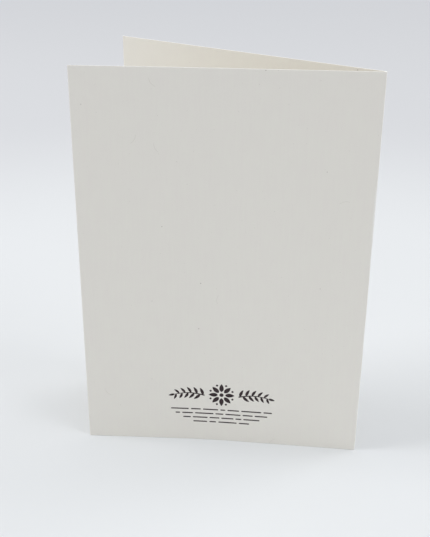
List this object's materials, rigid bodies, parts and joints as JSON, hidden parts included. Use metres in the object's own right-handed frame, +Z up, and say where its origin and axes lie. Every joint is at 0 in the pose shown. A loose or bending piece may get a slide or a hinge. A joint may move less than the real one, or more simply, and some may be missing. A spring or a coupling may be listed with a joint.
{
  "type": "greeting card",
  "caption": "Blank folded card of off-white board, standing half open on its lower edge, with a scored fold and a softly bent back leaf.",
  "frame": {"origin": "on the ground, under the centre of the card's bounding box", "axes": "+Z up along the fold; +X towards the fold, so both leaves run towards -X; the back leaf on the -Y side and the front cover on the +Y side, with Y = 0 halfway between them"},
  "size_m": [0.1022, 0.0486, 0.148],
  "materials": {
    "board": "matte",
    "ink": "matte"
  },
  "bodies": {
    "root": {"card": "board"}
  },
  "joints": []
}
